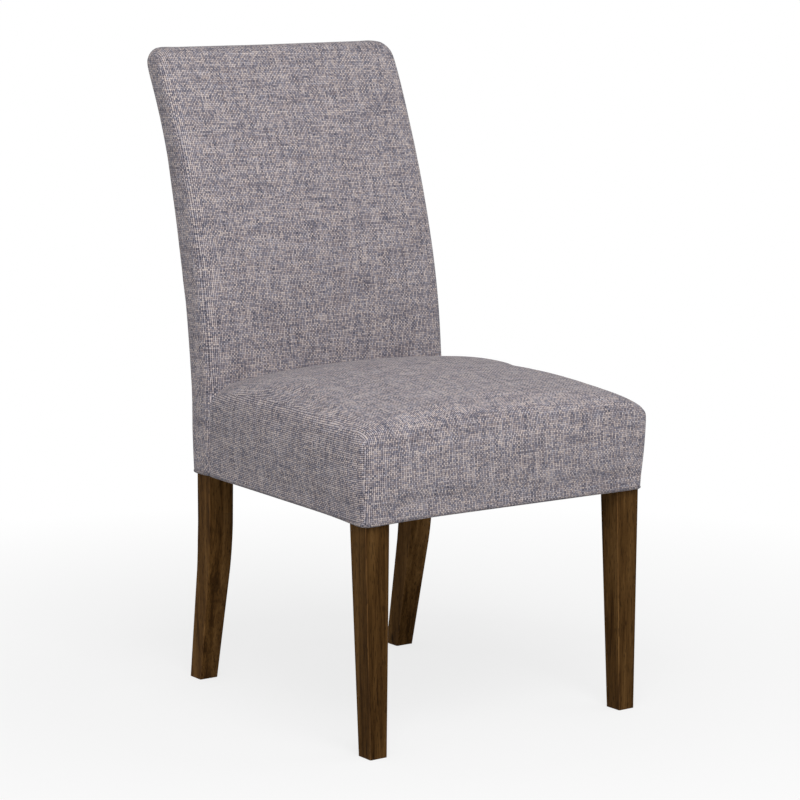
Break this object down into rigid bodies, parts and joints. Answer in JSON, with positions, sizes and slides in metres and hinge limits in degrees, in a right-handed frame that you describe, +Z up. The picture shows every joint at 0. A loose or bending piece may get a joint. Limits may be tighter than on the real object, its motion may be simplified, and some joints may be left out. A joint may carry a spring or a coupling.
{
  "type": "parsons chair",
  "caption": "Armless upholstered parsons dining chair: crowned seat, tall back that leans rearward in a curve, cloth cover and square tapered wooden legs.",
  "frame": {"origin": "centre of the bounding box in plan, on the floor", "axes": "+X to the right of someone who faces the chair, +Y from the front of the seat towards the back, +Z up"},
  "size_m": [0.5334, 0.6728, 1.018],
  "materials": {
    "stained_wood": "dark walnut stain under satin lacquer",
    "frame_wood": "sawn, unfinished",
    "webbing": "woven jute",
    "foam": "open-cell foam",
    "wadding": "bonded fibre",
    "board": "plain chipboard card",
    "cover_cloth": "slub linen weave, grey lilac with beige flecks",
    "lining_cloth": "black non-woven lining"
  },
  "bodies": {
    "root": {"front_leg_left": "stained_wood", "front_leg_right": "stained_wood", "rear_leg_left": "stained_wood", "rear_leg_right": "stained_wood", "front_seat_rail": "frame_wood", "rear_seat_rail": "frame_wood", "side_seat_rail_left": "frame_wood", "side_seat_rail_right": "frame_wood", "corner_block_front_left": "frame_wood", "corner_block_front_right": "frame_wood", "corner_block_rear_left": "frame_wood", "corner_block_rear_right": "frame_wood", "back_top_rail": "frame_wood", "back_middle_rail": "frame_wood", "back_bottom_rail": "frame_wood", "seat_webbing_lengthwise": "webbing", "seat_webbing_crosswise": "webbing", "back_webbing": "webbing", "seat_foam": "foam", "rail_padding": "foam", "back_foam": "foam", "back_edge_padding": "foam", "seat_wadding": "wadding", "back_wadding": "wadding", "back_panel": "board", "back_tack_strips": "board", "seat_cover": "cover_cloth", "inside_back_cover": "cover_cloth", "outside_back_cover": "cover_cloth", "bottom_welt": "cover_cloth", "dust_cover": "lining_cloth"}
  },
  "joints": []
}
